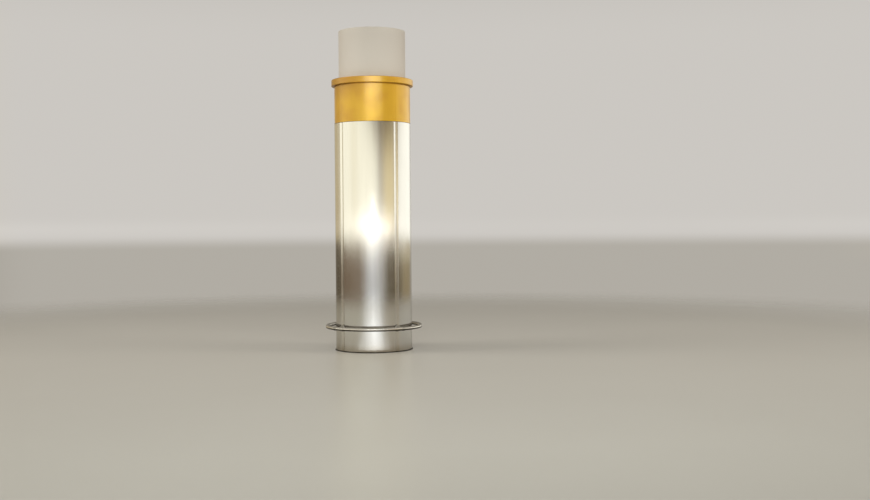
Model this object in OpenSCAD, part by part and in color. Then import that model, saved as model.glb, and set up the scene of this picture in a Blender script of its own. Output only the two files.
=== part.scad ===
// Round concourse column: a painted concrete shaft that is clad in brushed stainless sheet,
// with a gold collar and lip above the cladding and a tubular bumper rail round the foot.
// The origin is the centre of the foot at floor level, Z is up and the front faces -Y.
// The cladding, collar and rail are made in quarters that meet on the four diagonals.

/* [Shaft] */
// Height of the column from the floor to the soffit
column_h = 2862; // [2600:1:3400]
// Diameter of the concrete shaft
shaft_d = 600; // [450:1:800]

/* [Cladding] */
// Distance from the shaft to the outer face of the cladding
stand_off = 43.5; // [38:0.5:70]
// Height of the cladding above the floor
clad_top = 2033; // [1600:1:2200]
// Thickness of the stainless sheet
clad_t = 1.5; // [1:0.1:2.5]
// Depth of the folded edge along each side of a panel
edge_fold = 18; // [14:0.5:22]
// Gap between the foot of a panel and the floor
panel_foot = 2; // [1:0.5:5]

/* [Joint covers] */
// Width of the dished cover in each vertical joint
cover_w = 44; // [30:1:52]
// Depth of the dish behind the face of the cladding
cover_dish = 5; // [3:0.5:7]
// Thickness of the cover sheet
cover_t = 1.5; // [1:0.1:2.5]

/* [Fixing rails] */
// Width of the web of a hat rail outside each edge of a cover
web_edge = 8; // [5:0.5:15]
// Width of each foot of the hat rail
hat_foot = 22; // [12:1:35]
// Thickness of the hat rail
hat_t = 2; // [1:0.5:3]

/* [Collar] */
// Height of the visible band of the collar
collar_h = 326; // [150:1:350]
// Thickness of the collar sheet
collar_t = 2; // [1:0.1:3]
// Distance from the face of the cladding back to the face of the collar
collar_back = 3; // [3:0.5:5]
// Length of the collar that laps down behind the cladding
collar_lap = 26; // [15:1:60]
// Height of the sealant bead between the cladding and the collar
joint_seal_h = 3; // [2:0.5:6]
// Depth of the step at the top of the collar
neck_step = 8; // [4:0.5:10]
// Height of the neck above the step
neck_h = 22; // [14:1:40]

/* [Lip] */
// Height of the dark gap between the collar and the lip
shadow_gap = 9; // [4:0.5:11]
// Height of the lip
lip_h = 55; // [35:1:90]
// Projection of the lip beyond the collar
lip_out = 27; // [12:0.5:60]
// Thickness of the lip sheet
lip_t = 2; // [1:0.5:3]
// Radius of the bends along the lip
lip_bend = 5; // [3:0.5:12]

/* [Foot seal] */
// Width and height of the sealant bead round the foot
seal_w = 8; // [5:0.5:14]

/* [Bumper rail] */
// Height of the centre of the rail above the floor
rail_z = 212; // [120:1:600]
// Clear gap between the rail and the cladding
rail_gap = 62.5; // [30:0.5:120]
// Diameter of the rail tube
rail_d = 32; // [22:1:50]
// Wall of the rail tube
rail_wall = 2; // [1:0.5:4]
// Gap between the ends of two rail arcs inside a sleeve
rail_end_gap = 3; // [1:0.5:6]
// Wall of the sleeve that joins two rail arcs
sleeve_wall = 2; // [1.5:0.5:6]
// Length of the sleeve along the rail
sleeve_l = 30; // [24:1:60]
// Diameter of the stub that carries the sleeve
stub_d = 22; // [12:1:28]

/* [Rosettes] */
// Diameter of the rosette at the foot of each stub
rosette_d = 60; // [50:1:90]
// Height of the rosette above the cladding
rosette_h = 9; // [7:0.5:16]
// Chamfer round the face of the rosette
rosette_chamfer = 3; // [1:0.5:4]

/* [Fit] */
// Clearance between pieces that seat on each other
seat = 0.3; // [0.2:0.05:0.5]

/* [Hidden] */

$fn = 360;

// A little more than a cut needs, so that it runs out of the solid
over = 1;

// Turn of each side from the front, going round by the right
side_front = 0;
side_right = 90;
side_back = 180;
side_left = 270;
// Turn of each joint, halfway between two sides
joint_front_right = (side_front + side_right) / 2;
joint_back_right = (side_right + side_back) / 2;
joint_back_left = (side_back + side_left) / 2;
joint_front_left = joint_back_left + side_right;

// Half widths of the slots on the diagonals: for the panels, for their lap and for butted quarters
panel_slot = cover_w / 2 + seat;
lap_slot = panel_slot + clad_t + seat;
butt_slot = seat;

// Radii, from the shaft outwards
shaft_r = shaft_d / 2;
clad_r = shaft_r + stand_off;
fold_r = clad_r - edge_fold;
hat_r = sqrt(pow(fold_r, 2) - pow(panel_slot + clad_t, 2)) - seat;
hat_w = cover_w + 2 * web_edge;
collar_r = clad_r - collar_back;
neck_r = collar_r - neck_step;
lip_r = collar_r + lip_out;
rail_r = clad_r + rail_gap + rail_d / 2;
reach = rail_r + rail_d;

// Heights, from the floor upwards
collar_bottom = clad_top + joint_seal_h;
collar_top = collar_bottom + collar_h;
lip_bottom = collar_top + shadow_gap;
lip_top = lip_bottom + lip_h;
hat_top = lip_top - lip_t - seat;

// Dish of a cover: a circle in front of the joint, through the two edges and the bottom of the dish
dish_edge_y = sqrt(pow(clad_r, 2) - pow(cover_w / 2, 2));
dish_sag = dish_edge_y - (clad_r - cover_dish);
dish_r = (pow(cover_w / 2, 2) + pow(dish_sag, 2)) / (2 * dish_sag);
dish_y = -(clad_r - cover_dish + dish_r);
// Distance from the axis to the dish at the side of a stub
stub_foot_r = -dish_y - sqrt(pow(dish_r, 2) - pow(stub_d / 2, 2)) + seat;

// Angles along the rail, for a gap and for a sleeve
rail_gap_a = rail_end_gap / rail_r * 180 / PI;
sleeve_a = sleeve_l / rail_r * 180 / PI;

// Flat ring between two radii
module ring(outer, inner) {
    difference() {
        circle(r = outer);
        circle(r = inner);
    }
}

// Quarter of the plan that faces the front, drawn back from both diagonals by a slot
module quarter(slot) {
    rotate(-135) translate([slot, slot]) square(reach * 2);
}

// Quarter of a body, cut on the two diagonals
module quarter_of(slot) {
    intersection() {
        children();
        translate([0, 0, -over]) linear_extrude(column_h + 2 * over) quarter(slot);
    }
}

// Concrete shaft from floor to soffit
module concrete_shaft() {
    color([0.77, 0.74, 0.67]) cylinder(h = column_h, r = shaft_r);
}

// Hat rail on the shaft behind a joint, which the folded edges are fixed to
module hat_rail(turn) {
    color([0.62, 0.63, 0.64]) rotate([0, 0, turn]) linear_extrude(hat_top) hat_section();
}

module hat_section() {
    difference() {
        union() {
            translate([-hat_w / 2, -hat_r]) square([hat_w, hat_r - shaft_r + hat_w / 2]);
            intersection() {
                circle(r = shaft_r + seat + hat_t);
                translate([-hat_w / 2 - hat_foot, -hat_r]) square([hat_w + 2 * hat_foot, hat_r]);
            }
        }
        circle(r = shaft_r + seat);
        translate([-hat_w / 2 + hat_t, -hat_r + hat_t]) square([hat_w - 2 * hat_t, hat_r]);
        translate([-reach, -shaft_r + hat_w]) square([2 * reach, reach]);
    }
}

// Stainless panel of a quarter of the cladding, with a folded edge along each side
module panel(turn) {
    color([0.72, 0.71, 0.69]) rotate([0, 0, turn])
        translate([0, 0, panel_foot]) linear_extrude(clad_top - panel_foot) panel_section();
}

module panel_section() {
    intersection() {
        quarter(panel_slot);
        union() {
            ring(clad_r, clad_r - clad_t);
            difference() {
                ring(clad_r, fold_r);
                quarter(panel_slot + clad_t);
            }
        }
    }
}

// Dished cover that closes a joint between two folded edges, with its legs on the hat rail
module joint_cover(turn) {
    color([0.80, 0.79, 0.77]) rotate([0, 0, turn])
        translate([0, 0, panel_foot]) linear_extrude(clad_top - panel_foot) cover_section();
}

module cover_section() {
    difference() {
        intersection() {
            ring(clad_r, fold_r);
            translate([-cover_w / 2, -reach]) square([cover_w, reach]);
        }
        dish(0);
        difference() {
            translate([-cover_w / 2 + cover_t, -clad_r]) square([cover_w - 2 * cover_t, clad_r]);
            dish(-cover_t);
        }
    }
}

// Plan of the dish, drawn in by a clearance
module dish(clearance) {
    translate([0, dish_y]) circle(r = dish_r - clearance);
}

// Sealant bead on the top edge of the cladding, against the collar
module collar_seal() {
    color([0.13, 0.12, 0.11]) rotate_extrude()
        translate([collar_r + seat, clad_top + seat]) square([collar_back - seat, joint_seal_h - seat]);
}

// Quarter of the gold collar: a lap behind the cladding, the band, a step and a neck
module collar(turn) {
    color([0.84, 0.64, 0.26]) rotate([0, 0, turn]) {
        quarter_of(butt_slot) rotate_extrude() collar_section();
        translate([0, 0, clad_top - collar_lap])
            linear_extrude(collar_lap + over) collar_lap_section();
        translate([0, 0, clad_top + seat])
            linear_extrude(collar_top - clad_top - seat) collar_fold_section();
    }
}

module collar_section() {
    // band
    translate([collar_r - collar_t, clad_top + seat]) square([collar_t, collar_top - clad_top - seat]);
    // step
    translate([neck_r - collar_t, collar_top - collar_t]) square([neck_step + collar_t, collar_t]);
    // neck
    translate([neck_r - collar_t, collar_top - collar_t]) square([collar_t, neck_h + collar_t]);
}

module collar_lap_section() {
    intersection() {
        ring(collar_r, collar_r - collar_t);
        quarter(lap_slot);
    }
}

module collar_fold_section() {
    difference() {
        intersection() {
            ring(collar_r - collar_t / 2, hat_r + seat);
            quarter(butt_slot);
        }
        quarter(butt_slot + collar_t);
    }
}

// Quarter of the gold lip: a folded channel that closes the top back to the shaft
module lip(turn) {
    color([0.86, 0.66, 0.28]) rotate([0, 0, turn])
        quarter_of(butt_slot) rotate_extrude() lip_section();
}

module lip_section() {
    difference() {
        bent_bar(lip_bottom, lip_top, lip_r, lip_bend);
        bent_bar(lip_bottom + lip_t, lip_top - lip_t, lip_r - lip_t, lip_bend - lip_t);
        translate([0, lip_bottom - over]) square([neck_r + seat, lip_t + 2 * over]);
    }
}

// Bar from the shaft out to a radius, with two rounded outer corners
module bent_bar(low, high, outer, bend) {
    inner = shaft_r + seat;
    translate([inner, low]) square([outer - bend - inner, high - low]);
    translate([outer - 2 * bend, low + bend]) square([2 * bend, high - low - 2 * bend]);
    for (z = [low + bend, high - bend]) {
        translate([outer - bend, z]) circle(r = bend, $fn = 48);
    }
}

// Sealant bead round the foot of the cladding, with a plug in the dish of each cover
module foot_seal() {
    color([0.13, 0.12, 0.11]) {
        rotate_extrude() translate([clad_r + seat, 0]) intersection() {
            circle(r = seal_w, $fn = 48);
            square(seal_w);
        }
        for (turn = [joint_front_right, joint_back_right, joint_back_left, joint_front_left]) {
            rotate([0, 0, turn]) linear_extrude(seal_w) intersection() {
                dish(seat);
                ring(clad_r + 2 * seat, clad_r - cover_dish);
            }
        }
    }
}

// Quarter arc of the bumper rail
module rail(turn) {
    color([0.78, 0.77, 0.75]) rotate([0, 0, turn - 135 + rail_gap_a / 2])
        translate([0, 0, rail_z]) rotate_extrude(angle = 90 - rail_gap_a)
            translate([rail_r, 0]) difference() {
                circle(d = rail_d, $fn = 64);
                circle(d = rail_d - 2 * rail_wall, $fn = 64);
            }
}

// Tee on a stub: the sleeve takes the ends of two rail arcs
module tee(turn) {
    color([0.76, 0.75, 0.73]) rotate([0, 0, turn]) translate([0, 0, rail_z]) difference() {
        union() {
            rotate([0, 0, -90 - sleeve_a / 2]) rotate_extrude(angle = sleeve_a)
                translate([rail_r, 0]) circle(d = rail_d + 2 * (seat + sleeve_wall), $fn = 64);
            translate([0, -rail_r, 0]) rotate([-90, 0, 0])
                cylinder(h = rail_r - stub_foot_r, d = stub_d, $fn = 64);
        }
        rotate([0, 0, -90 - sleeve_a]) rotate_extrude(angle = 2 * sleeve_a)
            translate([rail_r, 0]) circle(d = rail_d + 2 * seat, $fn = 64);
    }
}

// Rosette at the foot of a stub, saddle cut to the cladding, with a boss that fills the dish behind it
module rosette(turn) {
    color([0.76, 0.75, 0.73]) rotate([0, 0, turn]) difference() {
        translate([0, -clad_r - rosette_h, rail_z]) rotate([-90, 0, 0]) {
            cylinder(h = rosette_chamfer, d1 = rosette_d - 2 * rosette_chamfer, d2 = rosette_d, $fn = 96);
            translate([0, 0, rosette_chamfer])
                cylinder(h = rosette_h - rosette_chamfer + cover_dish, d = rosette_d, $fn = 96);
        }
        difference() {
            cylinder(h = column_h, r = clad_r + seat);
            linear_extrude(column_h) dish(seat);
        }
        translate([0, -reach, rail_z]) rotate([-90, 0, 0])
            cylinder(h = reach, d = stub_d + 2 * seat, $fn = 64);
    }
}

concrete_shaft();
hat_rail(joint_front_right);  // hat_rail_front_right
hat_rail(joint_back_right);  // hat_rail_back_right
hat_rail(joint_back_left);  // hat_rail_back_left
hat_rail(joint_front_left);  // hat_rail_front_left
panel(side_front);  // panel_front
panel(side_right);  // panel_right
panel(side_back);  // panel_back
panel(side_left);  // panel_left
joint_cover(joint_front_right);  // joint_cover_front_right
joint_cover(joint_back_right);  // joint_cover_back_right
joint_cover(joint_back_left);  // joint_cover_back_left
joint_cover(joint_front_left);  // joint_cover_front_left
collar_seal();
collar(side_front);  // collar_front
collar(side_right);  // collar_right
collar(side_back);  // collar_back
collar(side_left);  // collar_left
lip(side_front);  // lip_front
lip(side_right);  // lip_right
lip(side_back);  // lip_back
lip(side_left);  // lip_left
foot_seal();
rail(side_front);  // rail_front
rail(side_right);  // rail_right
rail(side_back);  // rail_back
rail(side_left);  // rail_left
tee(joint_front_right);  // tee_front_right
tee(joint_back_right);  // tee_back_right
tee(joint_back_left);  // tee_back_left
tee(joint_front_left);  // tee_front_left
rosette(joint_front_right);  // rosette_front_right
rosette(joint_back_right);  // rosette_back_right
rosette(joint_back_left);  // rosette_back_left
rosette(joint_front_left);  // rosette_front_left
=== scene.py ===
# Round concourse column: the finishes, small fixings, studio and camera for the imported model.
import math

import bmesh
import bpy
from mathutils import Matrix, Vector, noise


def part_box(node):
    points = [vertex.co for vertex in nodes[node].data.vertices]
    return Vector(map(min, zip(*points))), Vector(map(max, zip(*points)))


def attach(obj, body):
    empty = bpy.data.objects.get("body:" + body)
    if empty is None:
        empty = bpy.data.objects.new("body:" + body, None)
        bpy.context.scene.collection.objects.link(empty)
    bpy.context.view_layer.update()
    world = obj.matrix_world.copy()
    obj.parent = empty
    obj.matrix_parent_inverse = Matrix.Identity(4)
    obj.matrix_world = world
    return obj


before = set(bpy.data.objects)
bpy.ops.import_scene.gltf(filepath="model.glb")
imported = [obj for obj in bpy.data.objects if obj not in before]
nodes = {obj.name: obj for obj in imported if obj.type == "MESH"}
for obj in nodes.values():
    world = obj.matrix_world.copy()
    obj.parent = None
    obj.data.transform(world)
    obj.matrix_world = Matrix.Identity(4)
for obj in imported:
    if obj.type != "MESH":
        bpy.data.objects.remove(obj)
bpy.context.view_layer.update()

scene = bpy.context.scene

SIDES = ("front", "right", "back", "left")
JOINTS = ("front_right", "back_right", "back_left", "front_left")
QUARTER = math.pi / 2
MM = 0.001


# Sizes read from the frame

shaft_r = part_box("concrete_shaft")[1].x
clad_r = -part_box("panel_front")[0].y
lip_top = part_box("lip_front")[1].z
rail_low, rail_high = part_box("rail_front")
rail_z = (rail_high.z + rail_low.z) / 2
rail_r = -rail_low.y - (rail_high.z - rail_low.z) / 2
tee_low, tee_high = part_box("tee_front_right")
sleeve_r = (tee_high.z - tee_low.z) / 2


# Camera, at the photograph's place and lens

IMAGE_W = 870
FOCAL_PX = 1112
AXIS_LEFT_PX = 61.5
SENSOR_MM = 36
SEES_TO = 300
EYE_H = 1.14
EYE_FAR = 10.094
EYE_SIDE = math.radians(8.3)
PITCH = math.radians(1.40)
ROLL = math.radians(0.40)


def add_camera():
    """The camera; gives back where it stands."""
    data = bpy.data.cameras.new("camera")
    data.sensor_width = SENSOR_MM
    data.lens = FOCAL_PX / IMAGE_W * SENSOR_MM
    data.clip_end = SEES_TO
    camera = bpy.data.objects.new("camera", data)
    scene.collection.objects.link(camera)
    heading = EYE_SIDE - math.atan(AXIS_LEFT_PX / FOCAL_PX)
    turn = Matrix.Rotation(heading, 4, "Z") @ Matrix.Rotation(QUARTER - PITCH, 4, "X")
    place = Vector((EYE_FAR * math.sin(EYE_SIDE), -EYE_FAR * math.cos(EYE_SIDE), EYE_H))
    camera.matrix_world = Matrix.Translation(place) @ turn @ Matrix.Rotation(-ROLL, 4, "Z")
    scene.camera = camera
    return place


# Shader maths

GENERATED, NORMAL, OBJECT = 0, 1, 3
MIXED_COLOUR = 2


class Value:
    """A socket in a node tree. Arithmetic on it adds Math nodes."""

    def __init__(self, tree, socket):
        self.tree = tree
        self.socket = socket

    def math(self, operation, *others):
        sockets = {"Value": self, "Value_001": 0.0}
        for name, other in zip(("Value_001", "Value_002"), others):
            sockets[name] = other
        return self.tree.node("ShaderNodeMath", {"operation": operation}, sockets)

    def __add__(self, other):
        return self.math("ADD", other)

    __radd__ = __add__

    def __sub__(self, other):
        return self.math("SUBTRACT", other)

    def __rsub__(self, other):
        return self * -1 + other

    def __mul__(self, other):
        return self.math("MULTIPLY", other)

    __rmul__ = __mul__

    def __truediv__(self, other):
        return self.math("DIVIDE", other)

    def __pow__(self, other):
        return self.math("POWER", other)


class Tree:
    """A node tree that nodes are added to by type, settings and sockets."""

    def __init__(self, owner):
        owner.use_nodes = True
        self.nodes = owner.node_tree.nodes
        self.links = owner.node_tree.links
        self.nodes.clear()

    def node(self, kind, settings=None, sockets=None, output=0):
        node = self.nodes.new(kind)
        for name, setting in (settings or {}).items():
            setattr(node, name, setting)
        for name, value in (sockets or {}).items():
            socket = next(s for s in node.inputs if s.identifier == name)
            if isinstance(value, Value):
                self.links.new(value.socket, socket)
            else:
                socket.default_value = value
        return Value(self, node.outputs[output]) if node.outputs else node

    def coordinates(self, kind=OBJECT):
        return self.node("ShaderNodeTexCoord", output=kind)

    def parts(self, vector):
        """The three numbers of a vector."""
        split = self.node("ShaderNodeSeparateXYZ", None, {"Vector": vector})
        return [Value(self, socket) for socket in split.socket.node.outputs]

    def across(self, x, y):
        """Distance from the column's axis."""
        return (x * x + y * y).math("SQRT")

    def step(self, value, low, high):
        """0 at low, 1 at high and smooth between them. Low may be the larger."""
        return self.node(
            "ShaderNodeMapRange",
            {"interpolation_type": "SMOOTHSTEP"},
            {"Value": value, "From Min": low, "From Max": high},
        )

    def noise(self, vector, scale, detail=2.0, rough=0.5):
        return self.node(
            "ShaderNodeTexNoise",
            None,
            {"Vector": vector, "Scale": scale, "Detail": detail, "Roughness": rough},
        )

    def drawn_noise(self, here, round_scale, up_scale, detail):
        """Noise with one scale round the column and another up it."""
        x, y, z = self.parts(here)
        vector = self.node(
            "ShaderNodeCombineXYZ",
            None,
            {"X": x * round_scale, "Y": y * round_scale, "Z": z * up_scale},
        )
        return self.noise(vector, 1.0, detail)

    def mix(self, factor, a, b):
        """Colour between a and b."""
        return self.node(
            "ShaderNodeMix",
            {"data_type": "RGBA"},
            {"Factor_Float": factor, "A_Color": a, "B_Color": b},
            MIXED_COLOUR,
        )

    def bump(self, height, distance, strength=1.0, over=None):
        """Normal with this relief, on top of another relief where one is given."""
        sockets = {"Height": height, "Distance": distance, "Strength": strength}
        if over:
            sockets["Normal"] = over
        return self.node("ShaderNodeBump", None, sockets)

    def finish(self, sockets):
        """Principled shader with these sockets, joined to the material's output."""
        shader = self.node("ShaderNodeBsdfPrincipled", None, sockets)
        self.node("ShaderNodeOutputMaterial", None, {"Surface": shader})


def new_material(name):
    material = bpy.data.materials.new(name)
    return material, Tree(material)


def opaque(colour, level=1.0):
    """Colour with an alpha of 1, made lighter or darker by its level."""
    return (*(level * c for c in colour), 1)


# Finishes

STEEL_DUST = (0.30, 0.25, 0.18, 1)
STEEL_SHADE = 0.88
GRAIN_DEEP = 0.04 * MM
# Heights between which a mark or a darkening on the steel comes in, from the clean end to the
# darker one
TOUCHED = (1.5, 0.9)
SPLASHED = (0.20, 0.0)
# The steel darkens towards its foot
FOOT_DARKENS = (0.085, 0.01)
# The cover strips darken below these heights
STRIP_DARKENS = (1.15, 0.85)

TUBE_DUST_AND_SHADE = (0.21, 0.18, 0.14, 1)
TUBE_PAINTED_SHADE = (0.042, 0.031, 0.020, 1)
TUBE_SHADE = 0.90
# How far the tube's painted shade against the cladding reaches out from it
PAINTED_SHADE_OUT = (7.5 * MM, 4.5 * MM)

GOLD_DEEP = (0.60, 0.335, 0.008, 1)
GOLD_BRIGHT = (0.71, 0.405, 0.016, 1)
GOLD_PATCH = (0.56, 0.275, 0.008, 1)
GOLD_PAINTED_SHADE = (0.33, 0.13, 0.002, 1)
# Painted shade: the gold darkens between these heights, and more towards the left
PAINTED_SHADE_RISE = (2.18, 2.40)
PAINTED_SHADE_LEFT = (0.0, -0.25)

SHAFT_DARKER = (0.515, 0.470, 0.420, 1)
SHAFT_LIGHTER = (0.645, 0.592, 0.538, 1)
# Painted light: the shaft's paint is lighter towards the lip, as if lit by light bounced from it
LIP_LIGHT_FALL = (2.82, 2.40)

ZINC_DARK = (0.40, 0.41, 0.42, 1)
ZINC_LIGHT = (0.52, 0.53, 0.54, 1)
SEAL_BLACK = (0.014, 0.009, 0.006, 1)
SEAL_DUST = (0.050, 0.036, 0.024, 1)
CAULK_CLEAN = (0.62, 0.58, 0.50, 1)
CAULK_AGED = (0.44, 0.39, 0.31, 1)


def steel(name, colour, roughness, anisotropy, grain, ripple=0.0, darkening=0.0):
    """Brushed stainless: the grain runs up the column, so highlights spread round it."""
    material, tree = new_material(name)
    here = tree.coordinates()
    z = tree.parts(here)[2]
    streaks = tree.drawn_noise(here, 900, 6, 2.0)
    bands = tree.drawn_noise(here, 40, 1.5, 3.0)
    smudge = tree.noise(here, 3.5, 5.0, 0.6)
    worn = tree.step(smudge, 0.45, 0.75)
    rubbed = tree.step(smudge, 0.56, 0.70)
    reached = tree.step(z, *TOUCHED)
    scratch_lines = (tree.drawn_noise(here, 75, 5, 0.0) - 0.5).math("ABSOLUTE")
    scratches = tree.step(scratch_lines, 0.006, 0.0) * reached * rubbed
    specks = tree.step(tree.noise(here, 150, 1.0), 0.74, 0.80) * reached
    low = tree.step(z, *SPLASHED)
    # Darker towards the foot
    foot = tree.step(z + (bands - 0.5) * 0.03, *FOOT_DARKENS)
    # Darker below about 1.15 m, on the cover strips
    darker_below = tree.step(z + (smudge - 0.5) * 0.3, *STRIP_DARKENS) * darkening
    lighter_tone = tree.mix(
        (streaks + bands) * 0.5, opaque(colour, STEEL_SHADE), opaque(colour)
    )
    dust_and_darkening = tree.mix(specks * 0.35 + low * 0.25 + foot * 0.35 + darker_below, lighter_tone, STEEL_DUST)
    brushed_rough = roughness + (bands - 0.5) * 0.05
    marked_rough = worn * 0.02 + low * 0.05 + specks * 0.3 + scratches * 0.12
    wavy = tree.bump(tree.drawn_noise(here, 9, 0.7, 1.0), ripple) if ripple else None
    tree.finish({
        "Base Color": dust_and_darkening,
        "Metallic": 1.0,
        "Roughness": brushed_rough + marked_rough,
        "Anisotropic": anisotropy,
        "Normal": tree.bump(streaks + scratches * 0.5, GRAIN_DEEP, grain, wavy),
    })
    return material


def tube_steel(name, colour, roughness):
    """Satin tube with hand marks, dust and painted shade on top, and painted shade below and
    against the cladding.
    """
    material, tree = new_material(name)
    here = tree.coordinates()
    x, y, _ = tree.parts(here)
    facing = tree.parts(tree.node("ShaderNodeNewGeometry", output=NORMAL))[2]
    marks = tree.noise(here, 30, 4.0, 0.6)
    under = tree.step(facing * -1 + (marks - 0.5) * 0.2, -0.06, 0.28)
    above = tree.step(facing + (marks - 0.5) * 0.4, 0.22, 0.66)
    inner = tree.step(tree.across(x, y), *(clad_r + out for out in PAINTED_SHADE_OUT))
    # Painted shade: darker underneath and next to the cladding, where shade falls
    darkening = 1 - (1 - under * 0.94) * (1 - inner * 0.85)
    lighter_tone = tree.mix(marks, opaque(colour, TUBE_SHADE), opaque(colour))
    # Dust on the top, with painted shade darkening the upper side as well
    dust_and_darkening = tree.mix(above * 0.75, lighter_tone, TUBE_DUST_AND_SHADE)
    tree.finish({
        "Base Color": tree.mix(darkening, dust_and_darkening, TUBE_PAINTED_SHADE),
        "Metallic": 1 - above * 0.6,
        "Roughness": roughness + (marks - 0.5) * 0.12 + darkening * 0.2 + above * 0.25,
        "Normal": tree.bump(tree.drawn_noise(here, 60, 2600, 1.0), 0.03 * MM, 0.4),
    })
    return material


def gold_paint():
    """Gold metallic paint under a satin coat, with runs, smudges and a painted shade on its upper
    left.
    """
    material, tree = new_material("gold_paint")
    here = tree.coordinates()
    x, _, z = tree.parts(here)
    smudge = tree.noise(here, 6.0, 4.0, 0.6)
    drips = tree.drawn_noise(here, 25, 3, 3.0)
    patch = tree.step(tree.noise(here, 6.5, 1.5, 0.45), 0.42, 0.72)
    left = tree.step(x, *PAINTED_SHADE_LEFT)
    # Painted shade on the upper left of the collar and lip
    painted_upper_shade = tree.step(z + (smudge - 0.5) * 0.12, *PAINTED_SHADE_RISE) * (0.14 + left * 0.45)
    tint = tree.mix(smudge * 0.5 + drips * 0.5, GOLD_DEEP, GOLD_BRIGHT)
    tint = tree.mix(patch * 0.5, tint, GOLD_PATCH)
    tint = tree.mix(painted_upper_shade, tint, GOLD_PAINTED_SHADE)
    orange_peel = tree.bump(tree.noise(here, 260, 2.0), 0.2 * MM, 0.35)
    dented = tree.bump(tree.noise(here, 5.0, 2.0), 4 * MM, 0.3, orange_peel)
    tree.finish({
        "Base Color": tint,
        "Metallic": 0.6,
        "Roughness": 0.42 + (smudge - 0.5) * 0.16 + patch * 0.05,
        "Coat Weight": 0.33,
        "Coat Roughness": 0.21,
        "Coat IOR": 1.9,
        "Normal": dented,
    })
    return material


def masonry_paint():
    """Off-white matt paint on smooth concrete, lighter towards the lip by painted bounce light."""
    material, tree = new_material("shaft_paint")
    here = tree.coordinates()
    z = tree.parts(here)[2]
    patches = tree.noise(here, 4.0, 4.0, 0.6)
    # Painted light bounced from the lip: lighter just above it
    lighter_tone = tree.step(z + (patches - 0.5) * 0.2, *LIP_LIGHT_FALL)
    tree.finish({
        "Base Color": tree.mix(patches * 0.5 + lighter_tone * 0.5, SHAFT_DARKER, SHAFT_LIGHTER),
        "Roughness": 0.75 + patches * 0.1,
        "Normal": tree.bump(tree.noise(here, 380, 3.0), 0.6 * MM, 0.5),
    })
    return material


def galvanised():
    """Dull zinc with its spangle."""
    material, tree = new_material("galvanised")
    here = tree.coordinates()
    spangle = tree.node("ShaderNodeTexVoronoi", None, {"Vector": here, "Scale": 90.0})
    tree.finish({
        "Base Color": tree.mix(spangle, ZINC_DARK, ZINC_LIGHT),
        "Metallic": 0.9,
        "Roughness": 0.45 + spangle * 0.15,
    })
    return material


def sealant():
    """Matt dark bead with dust on it."""
    material, tree = new_material("sealant")
    here = tree.coordinates()
    dust = tree.step(tree.noise(here, 14.0, 4.0, 0.6), 0.45, 0.8)
    tree.finish({
        "Base Color": tree.mix(dust, SEAL_BLACK, SEAL_DUST),
        "Roughness": 0.65 + dust * 0.2,
        "Specular IOR Level": 0.25,
        "Normal": tree.bump(tree.noise(here, 120, 2.0), 0.6 * MM, 0.4),
    })
    return material


def caulk():
    """Off-white bead, stained in places."""
    material, tree = new_material("caulk")
    here = tree.coordinates()
    stain = tree.step(tree.noise(here, 9.0, 4.0, 0.6), 0.4, 0.75)
    tree.finish({
        "Base Color": tree.mix(stain, CAULK_CLEAN, CAULK_AGED),
        "Roughness": 0.5 + stain * 0.3,
        "Normal": tree.bump(stain, 0.4 * MM, 0.5),
    })
    return material


def wear(material, *names):
    """Give these CAD nodes one material."""
    for name in names:
        slots = nodes[name].data.materials
        slots.clear()
        slots.append(material)


# Small pieces on the rail's fixings and at the top of the lip

SHARP = math.radians(35)

STUB_R = 11 * MM
ROSETTE_H = 9 * MM
ROSETTE_FACE_R = 27 * MM

WELD_THICK = 1.7 * MM
WELD_OUT = 0.6 * MM
WELD_PROUD = 0.5 * MM
WELD_RIPPLE = 0.35 * MM
WELD_RIPPLE_SCALE = 900

# A screw head's steps: inwards as a share of its radius, and up as a share of its height
HEAD_SIDES = 24
HEAD_EDGE = 0.5
HEAD_STEPS = ((0.12, 0.35), (0.22, 0.15), (0.12, 0.0), (0.02, -0.8))
SCREW_R, SCREW_PROUD = 3.6 * MM, 1.1 * MM
GRUB_R, GRUB_PROUD = 2.6 * MM, 1.0 * MM
GRUB_ALONG = 9.5 * MM
GRUB_SUNK = 0.4 * MM

CAULK_THICK = 2.6 * MM
CAULK_RISE = 1.2 * MM
CAULK_UNEVEN = 0.35


def joint_turn(joint):
    return Matrix.Rotation(QUARTER * (JOINTS.index(joint) + 0.5), 4, "Z")


def add_piece(name, work, material):
    bmesh.ops.recalc_face_normals(work, faces=work.faces[:])
    mesh = bpy.data.meshes.new(name)
    work.to_mesh(mesh)
    work.free()
    mesh.materials.append(material)
    mesh.shade_smooth()
    mesh.set_sharp_from_angle(angle=SHARP)
    piece = bpy.data.objects.new(name, mesh)
    scene.collection.objects.link(piece)
    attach(piece, "root")


def spun_bead(work, radius, thick, steps, sides=10):
    """Bead round the Z axis: a small circle spun all the way."""
    section = Matrix.Translation((radius, 0, 0)) @ Matrix.Rotation(QUARTER, 4, "X")
    start = bmesh.ops.create_circle(work, segments=sides, radius=thick, matrix=section)["verts"]
    edges = {edge for vert in start for edge in vert.link_edges}
    bmesh.ops.spin(
        work,
        geom=[*start, *edges],
        cent=(0, 0, 0),
        axis=(0, 0, 1),
        angle=2 * math.pi,
        steps=steps,
        use_merge=True,
    )


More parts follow.
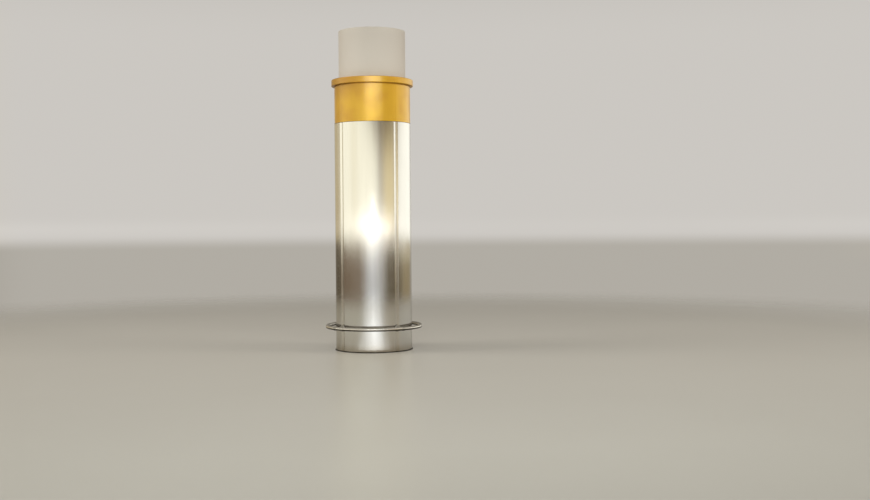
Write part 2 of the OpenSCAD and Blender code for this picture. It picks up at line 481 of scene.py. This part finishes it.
def weld(joint, material):
    """Weld bead where the stub meets the sleeve, on the saddle between the two tubes."""
    work = bmesh.new()
    spun_bead(work, STUB_R + WELD_OUT, WELD_THICK, 48)
    bmesh.ops.transform(work, matrix=Matrix.Rotation(QUARTER, 4, "X"), verts=work.verts)
    for vert in work.verts:
        saddle = math.sqrt(sleeve_r**2 - min(abs(vert.co.z), STUB_R) ** 2)
        vert.co.y += saddle + WELD_PROUD
        ripple = noise.noise(vert.co * WELD_RIPPLE_SCALE) * WELD_RIPPLE
        vert.co += Vector((vert.co.x, 0, vert.co.z)).normalized() * ripple
    place = joint_turn(joint) @ Matrix.Translation((0, -rail_r, rail_z))
    bmesh.ops.transform(work, matrix=place, verts=work.verts)
    add_piece(f"weld_{joint}", work, material)


def corners(faces):
    return list({vert for face in faces for vert in face.verts})


def screw_head(work, place, radius, proud):
    """Domed screw head with a socket, facing -Y at its place."""
    rim = bmesh.ops.create_circle(work, cap_ends=True, segments=HEAD_SIDES, radius=radius)["verts"]
    raised = bmesh.ops.extrude_face_region(work, geom=[rim[0].link_faces[0]])["geom"]
    top = [part for part in raised if isinstance(part, bmesh.types.BMFace)]
    bmesh.ops.translate(work, vec=(0, 0, proud * HEAD_EDGE), verts=corners(top))
    made = [*rim, *corners(top)]
    for inwards, up in HEAD_STEPS:
        ring = bmesh.ops.inset_region(
            work, faces=top, thickness=radius * inwards, use_even_offset=True
        )["faces"]
        made += corners(ring)
        bmesh.ops.translate(work, vec=(0, 0, proud * up), verts=corners(top))
    verts = list({vert for vert in made if vert.is_valid} | set(corners(top)))
    bmesh.ops.transform(work, matrix=place @ Matrix.Rotation(QUARTER, 4, "X"), verts=verts)


def rosette_screws(joint, material):
    """Two screws on the rosette's face, on either side of the stub."""
    work = bmesh.new()
    out = (STUB_R + ROSETTE_FACE_R) / 2
    for side in (-1, 1):
        on_face = Matrix.Translation((side * out, -clad_r - ROSETTE_H, rail_z))
        screw_head(work, joint_turn(joint) @ on_face, SCREW_R, SCREW_PROUD)
    add_piece(f"rosette_screws_{joint}", work, material)


def grub_screws(joint, material):
    """Two set screws under the sleeve, one on each arc of the rail."""
    work = bmesh.new()
    for side in (-1, 1):
        place = (
            joint_turn(joint)
            @ Matrix.Rotation(side * GRUB_ALONG / rail_r, 4, "Z")
            @ Matrix.Translation((0, -rail_r, rail_z))
            @ Matrix.Rotation(QUARTER, 4, "X")
            @ Matrix.Translation((0, -sleeve_r + GRUB_SUNK, 0))
        )
        screw_head(work, place, GRUB_R, GRUB_PROUD)
    add_piece(f"grub_screws_{joint}", work, material)


def lip_caulk(material):
    """Bead of caulk on the lip, tooled against the shaft."""
    work = bmesh.new()
    spun_bead(work, shaft_r + CAULK_THICK, CAULK_THICK, 240, 12)
    for vert in work.verts:
        around = math.atan2(vert.co.y, vert.co.x)
        uneven = noise.noise(Vector((math.cos(around), math.sin(around), 0.3)) * 7)
        vert.co.z = (vert.co.z + CAULK_RISE) * (1 + uneven * CAULK_UNEVEN)
        vert.co.z += lip_top
    add_piece("lip_caulk", work, material)


# Studio: a pale floor under soft lamps, inside a dome whose panels show in the steel

FLOOR_R = 9.0
FLOOR_FADES_FROM = 4.5
FLOOR_DARK = (0.56, 0.53, 0.475, 1)
FLOOR_LIGHT = (0.60, 0.57, 0.515, 1)

# Soft panels of the dome, one over another: place and half width in degrees round from the camera,
# lowest and highest elevation, softness of the edges, level and colour
PANELS = (
    (-138, 20, -1.0, 90, 5, 0.70, (1.0, 0.82, 0.48)),  # dim, at the back on the left
    (-50, 66, -1.0, 90, 11, 1.66, (1.0, 0.97, 0.80)),  # bright, left
    (-58, 8, -0.4, 90, 12, 1.44, (1.0, 0.94, 0.72)),  # dimmer strip within it
    (50, 20, -0.5, 90, 15, 1.22, (1.0, 0.84, 0.48)),  # warm, right of the camera
    (114, 34, -1.0, 90, 7, 1.76, (1.0, 0.99, 0.90)),  # bright, far right
    (-91, 66, -90, -1.0, 6, 0.25, (1.0, 0.71, 0.46)),  # below the horizon, left
    (-136, 20, -90, -1.0, 8, 0.14, (1.0, 0.80, 0.52)),  # below the horizon, back left
    (66, 30, -90, -1.0, 10, 0.15, (1.0, 0.76, 0.42)),  # below the horizon, right
    (118, 24, -90, -1.0, 12, 0.42, (1.0, 0.80, 0.46)),  # below the horizon, far right
    (116, 30, -1.9, -0.9, 12, 0.72, (1.0, 0.88, 0.62)),  # thin glare on the horizon, far right
    (-2, 19, -90, -1.0, 20, 0.86, (0.96, 0.98, 1.0)),  # below the horizon, in front
)
WALL = (0.60, 0.575, 0.54, 1)
GROUND = (0.44, 0.415, 0.37, 1)
UPPER = (0.30, 0.285, 0.25, 1)
FAR_FLOOR = (0.40, 0.375, 0.325, 1)
EDGE_SOFT = 0.3
# Elevations over which the dome goes from one band to the next
TO_WALL = (-1.3, -0.5)
TO_FAR_FLOOR = (-4.2, -6.5)
TO_UPPER = (9.0, 22.0)

# Wide soft patches: middle and half width in degrees round, the elevations over which each comes
# in, how strong it is, and its colour
SHADES = (
    (36, 38, (2.4, 5.8), 0.95, (0.23, 0.15, 0.06, 1)),
    (24, 48, (4.2, 5.6), 0.5, (0.16, 0.12, 0.07, 1)),
)
WARM_MIDDLE, WARM_HALF = 42, 26
WARM_IN, WARM_OUT = (6.2, 8.5), (26, 14)
WARM = (1.0, 0.84, 0.60, 1)

# Light along the horizon: elevation and half height, middle and half width round, and strength
GLOWS = (
    (-0.2, 0.4, -8, 85, 1.0),
    (-0.2, 0.4, 12, 48, 2.8),
    (-1.2, 0.7, -2, 24, 0.5),
)
GLOW_COLOUR = (1.0, 0.98, 0.95, 1)

# Lamps: name, place, aim, width, height where it isn't round, watts and colour
LAMPS = (
    ("left_fill", (-4.6, -0.9, 6.0), (0, 0, 1.6), 3.0, None, 120, (1.0, 0.97, 0.92)),
    ("right_fill", (6.0, -0.8, 5.4), (0, 0, 2.0), 3.0, None, 110, (1.0, 0.97, 0.92)),
    ("soft_key", (0.6, -6.9, 4.9), (0, 0, 2.0), 3.0, None, 60, (1.0, 0.98, 0.94)),
    ("low_key", (1.3, -7.0, 3.45), (0, 0, 2.2), 7.6, 0.6, 100, (0.84, 0.97, 1.0)),
)
EYE_LAMP_FAR = 1.04
EYE_LAMP_UP = 0.1
EYE_LAMP_AIM = (0, 0, 1.1)
EYE_LAMP_W = 0.9
EYE_LAMP_WATTS = 5
EYE_LAMP_COLOUR = (1.0, 0.99, 0.97)

# Low lamps that lie on the floor and face up: degrees round from the camera, and watts
PATHS = ((-26, 7), (-13, 13), (0, 21), (13, 13), (26, 4))
PATH_FAR = 4.6
PATH_LONG = 8.3
PATH_W = 0.7
PATH_H = 0.01
PATH_COLOUR = (0.90, 0.95, 1.0)


def add_floor():
    """Pale disc that fades into the dome."""
    mesh = bpy.data.meshes.new("floor")
    work = bmesh.new()
    bmesh.ops.create_circle(work, cap_ends=True, segments=128, radius=FLOOR_R)
    work.to_mesh(mesh)
    work.free()
    floor = bpy.data.objects.new("floor", mesh)
    scene.collection.objects.link(floor)
    material, tree = new_material("floor")
    here = tree.coordinates()
    x, y, _ = tree.parts(here)
    fade = tree.step(tree.across(x, y), FLOOR_FADES_FROM, FLOOR_R)
    tint = tree.mix(tree.noise(here, 0.6, 3.0), FLOOR_DARK, FLOOR_LIGHT)
    surface = tree.node(
        "ShaderNodeBsdfPrincipled",
        None,
        {"Base Color": tint, "Roughness": 0.35, "Specular IOR Level": 0.25},
    )
    clear = tree.node("ShaderNodeBsdfTransparent")
    both = tree.node(
        "ShaderNodeMixShader", None, {"Fac": fade, "Shader": surface, "Shader_001": clear}
    )
    tree.node("ShaderNodeOutputMaterial", None, {"Surface": both})
    mesh.materials.append(material)


def add_world():
    """Dome of soft panels, by degrees round from the camera and elevation."""
    world = bpy.data.worlds.new("studio")
    scene.world = world
    tree = Tree(world)
    x, y, z = tree.parts(tree.coordinates(GENERATED))
    turn = x.math("ARCTAN2", y * -1) * (180 / math.pi) - math.degrees(EYE_SIDE)
    rise = z.math("ARCSINE") * (180 / math.pi)

    def off(middle):
        """Degrees round from a direction, on either side of it."""
        return (turn - middle).math("WRAP", 180.0, -180.0).math("ABSOLUTE")

    def hump(value, half):
        """1 at nought and falling away on both sides."""
        return ((value / half) ** 2.0 * -1).math("EXPONENT")

    dome = tree.mix(tree.step(rise, *TO_WALL), GROUND, WALL)
    for middle, half, low, high, soft, level, tint in PANELS:
        mask = tree.step(off(middle), half + soft, half - soft)
        if low > -90:
            mask = mask * tree.step(rise, low - EDGE_SOFT, low + EDGE_SOFT)
        if high < 90:
            mask = mask * tree.step(rise, high + EDGE_SOFT, high - EDGE_SOFT)
        dome = tree.mix(mask, dome, opaque(tint, level))
    dome = tree.mix(tree.step(rise, *TO_FAR_FLOOR), dome, FAR_FLOOR)
    for middle, half, comes_in, strength, shade in SHADES:
        mask = hump(off(middle), half) * tree.step(rise, *comes_in) * strength
        dome = tree.mix(mask, dome, shade)
    dome = tree.mix(tree.step(rise, *TO_UPPER), dome, UPPER)
    warm_rise = tree.step(rise, *WARM_IN) * tree.step(rise, *WARM_OUT)
    dome = tree.mix(hump(off(WARM_MIDDLE), WARM_HALF) * warm_rise, dome, WARM)
    glow = sum(
        hump(rise - elevation, half_high) * hump(off(middle), half) * strength
        for elevation, half_high, middle, half, strength in GLOWS
    )
    lit_dome = tree.node("ShaderNodeBackground", None, {"Color": dome, "Strength": 1.0})
    horizon = tree.node("ShaderNodeBackground", None, {"Color": GLOW_COLOUR, "Strength": glow})
    both = tree.node("ShaderNodeAddShader", None, {"Shader": lit_dome, "Shader_001": horizon})
    tree.node("ShaderNodeOutputWorld", None, {"Surface": both})


def aimed(place, aim):
    return (Vector(aim) - Vector(place)).to_track_quat("-Z", "Y").to_euler()


def add_lamp(name, place, turn, width, height, watts, colour):
    """Area lamp that the camera doesn't see, round unless it has a height."""
    data = bpy.data.lights.new(name, "AREA")
    data.shape = "ELLIPSE" if height else "DISK"
    data.size = width
    if height:
        data.size_y = height
    data.energy = watts
    data.color = colour
    lamp = bpy.data.objects.new(name, data)
    scene.collection.objects.link(lamp)
    lamp.location = place
    lamp.rotation_euler = turn
    lamp.visible_camera = False


def add_lamps(eye):
    for name, place, aim, width, height, watts, colour in LAMPS:
        add_lamp(name, place, aimed(place, aim), width, height, watts, colour)
    by_eye = (eye.x * EYE_LAMP_FAR, eye.y * EYE_LAMP_FAR, eye.z + EYE_LAMP_UP)
    turn = aimed(by_eye, EYE_LAMP_AIM)
    add_lamp("by_the_eye", by_eye, turn, EYE_LAMP_W, None, EYE_LAMP_WATTS, EYE_LAMP_COLOUR)
    for side, watts in PATHS:
        way = EYE_SIDE + math.radians(side)
        middle = (PATH_FAR * math.sin(way), -PATH_FAR * math.cos(way), PATH_H)
        add_lamp("low_path", middle, (math.pi, 0, way), PATH_W, PATH_LONG, watts, PATH_COLOUR)


scene.view_settings.view_transform = "Standard"
eye = add_camera()
add_floor()
add_world()
add_lamps(eye)

cladding = steel("cladding", (0.61, 0.595, 0.57), 0.15, 1.0, 0.3, ripple=2.2 * MM)
strip_steel = steel("cover_strip", (0.66, 0.64, 0.61), 0.20, 0.9, 0.2, darkening=0.22)
rail_steel = tube_steel("rail_steel", (0.66, 0.63, 0.58), 0.26)
fixing_steel = tube_steel("fixing_steel", (0.47, 0.45, 0.42), 0.48)
gold = gold_paint()

wear(masonry_paint(), "concrete_shaft")
wear(galvanised(), *(f"hat_rail_{joint}" for joint in JOINTS))
wear(cladding, *(f"panel_{side}" for side in SIDES))
wear(strip_steel, *(f"joint_cover_{joint}" for joint in JOINTS))
wear(gold, *(f"{piece}_{side}" for piece in ("collar", "lip") for side in SIDES))
wear(sealant(), "foot_seal", "collar_seal")
wear(rail_steel, *(f"rail_{side}" for side in SIDES))
wear(fixing_steel, *(f"{piece}_{joint}" for piece in ("tee", "rosette") for joint in JOINTS))

for joint in JOINTS:
    weld(joint, fixing_steel)
    rosette_screws(joint, fixing_steel)
    grub_screws(joint, fixing_steel)
lip_caulk(caulk())
